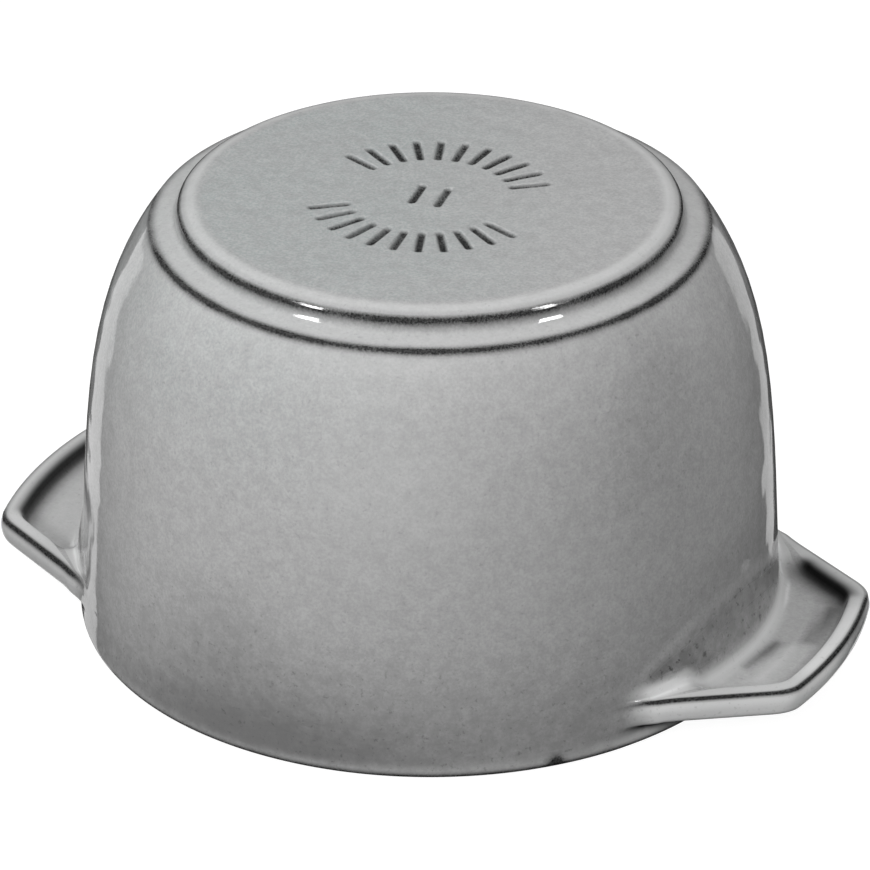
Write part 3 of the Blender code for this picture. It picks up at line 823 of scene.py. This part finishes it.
def dress(obj, *materials):
    """Give a piece its materials. Clearing empty slots would reset the faces' slot numbers."""
    if obj.data.materials:
        obj.data.materials.clear()
    for material in materials:
        obj.data.materials.append(material)


def plane(name, width, depth, centre, facing, material, roll_deg=0.0):
    """Flat rectangle of the studio that faces along a direction."""
    w, d = 0.5 * width * MM, 0.5 * depth * MM
    mesh = bpy.data.meshes.new(name)
    mesh.from_pydata([(-w, -d, 0), (w, -d, 0), (w, d, 0), (-w, d, 0)], [], [(0, 1, 2, 3)])
    mesh.materials.append(material)
    obj = bpy.data.objects.new(name, mesh)
    obj.location = centre
    obj.rotation_mode = "QUATERNION"
    roll = Quaternion(UP, math.radians(roll_deg))
    obj.rotation_quaternion = facing.to_track_quat("Z", "Y") @ roll
    bpy.context.scene.collection.objects.link(obj)
    return obj


def rays(obj, camera=True, diffuse=True, glossy=True, shadow=True):
    """Which rays see a piece of the studio."""
    obj.visible_camera = camera
    obj.visible_diffuse = diffuse
    obj.visible_glossy = glossy
    obj.visible_transmission = glossy
    obj.visible_shadow = shadow


def around(side_deg, lift_deg, distance):
    """Place and direction at an angle to the right of the camera, up, and far from the pot."""
    side, lift = math.radians(side_deg), math.radians(lift_deg)
    out = (RIGHT * math.sin(side) - AWAY * math.cos(side)) * math.cos(lift) + UP * math.sin(lift)
    return (UP * LOOKED_AT_Z + out * distance) * MM, out


def lamp(name, side_deg, lift_deg, distance, width, height, watts):
    """Soft box that lights the pot and is not mirrored in it."""
    centre, out = around(side_deg, lift_deg, distance)
    data = bpy.data.lights.new(name, "AREA")
    data.shape = "RECTANGLE"
    data.size, data.size_y = width * MM, height * MM
    data.energy = watts
    obj = bpy.data.objects.new(name, data)
    obj.location = centre
    obj.rotation_mode = "QUATERNION"
    obj.rotation_quaternion = out.to_track_quat("Z", "Y")
    obj.visible_camera = False
    obj.visible_glossy = False
    bpy.context.scene.collection.objects.link(obj)


def make_sky():
    """White backdrop that gives half its light and is not mirrored."""
    world = bpy.data.worlds.new("studio")
    world.use_nodes = True
    world.cycles_visibility.glossy = False
    bpy.context.scene.world = world
    tree = world.node_tree
    path = tree.nodes.new("ShaderNodeLightPath")
    shade = tree.nodes.new("ShaderNodeMapRange")
    shade.inputs["To Min"].default_value = SKY_LIGHT
    shade.inputs["To Max"].default_value = SKY_SEEN
    tree.links.new(path.outputs["Is Camera Ray"], shade.inputs["Value"])
    tree.links.new(shade.outputs[0], tree.nodes["Background"].inputs["Strength"])
    tree.nodes["Background"].inputs["Color"].default_value = WHITE


def make_studio():
    white = paper("paper_white", FLOOR_TONES, FLOOR_LIGHT)
    shown = plane("floor", FLOOR_SIZE, FLOOR_SIZE, UP * -FLOOR_DROP * MM, UP, white)
    rays(shown, diffuse=False, glossy=False)
    pale = paper("paper_grey", BOUNCE_TONES)
    bounce = plane("floor_bounce", BOUNCE_SIZE, BOUNCE_SIZE, UP * -BOUNCE_DROP * MM, UP, pale)
    rays(bounce, camera=False, glossy=False)
    for name, aside, width, strength in EDGE_CARDS:
        centre = (RIGHT * aside + AWAY * EDGE_CARD_BACK - UP * EDGE_CARD_DROP) * MM
        light = glow("card_glow", strength)
        card = plane(name, width, EDGE_CARD_LENGTH, centre, -AWAY, light)
        rays(card, camera=False, diffuse=False, shadow=False)
    for side, roll in WINDOWS:
        centre, out = around(side, WINDOW_LIFT_DEG, WINDOW_DISTANCE)
        light = glow("window_glow", WINDOW_STRENGTH)
        card = plane("window", WINDOW_WIDTH, WINDOW_LENGTH, centre, -out, light, roll)
        rays(card, camera=False, diffuse=False, shadow=False)
    for settings in LAMPS:
        lamp(*settings)
    make_sky()
    bpy.context.scene.view_settings.view_transform = "Standard"


def make_camera():
    lift = math.radians(CAMERA_ELEVATION)
    back = -AWAY * math.cos(lift) + UP * math.sin(lift)
    above = back.cross(RIGHT)
    target = UP * LOOKED_AT_Z * MM
    place = target + back * CAMERA_DISTANCE * MM
    scale = CAMERA_DISTANCE * MM / FOCAL_PIXELS
    aim = target + RIGHT * OFFSET_RIGHT * scale - above * OFFSET_DOWN * scale
    data = bpy.data.cameras.new("camera")
    data.sensor_width = SENSOR_WIDTH
    data.lens = FOCAL_PIXELS / IMAGE_PIXELS * data.sensor_width
    data.clip_start, data.clip_end = CLIP_NEAR, CLIP_FAR
    camera = bpy.data.objects.new("camera", data)
    camera.location = place
    camera.rotation_mode = "QUATERNION"
    camera.rotation_quaternion = (place - aim).to_track_quat("Z", "Y")
    bpy.context.scene.collection.objects.link(camera)
    bpy.context.scene.camera = camera


pot = make_pot()
dress(pot, enamel("pot_enamel_look"), inner_enamel("pot_inside_look"))
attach(pot, "pot")
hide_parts("pot_casting")

lid = make_lid()
dress(lid, enamel("lid_enamel_look"))
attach(lid, "lid")
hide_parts("lid_casting")

knob = make_knob()
dress(knob, steel("knob_steel_look", (0.62, 0.61, 0.59), 0.16, 0.3))
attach(knob, "lid")
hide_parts("lid_knob")

dress(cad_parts["knob_washer"], steel("washer_steel_look", (0.55, 0.55, 0.54), 0.24, 0.38))
dress(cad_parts["knob_screw"], steel("screw_steel_look", (0.5, 0.5, 0.5), 0.24, 0.38))

make_studio()
make_camera()
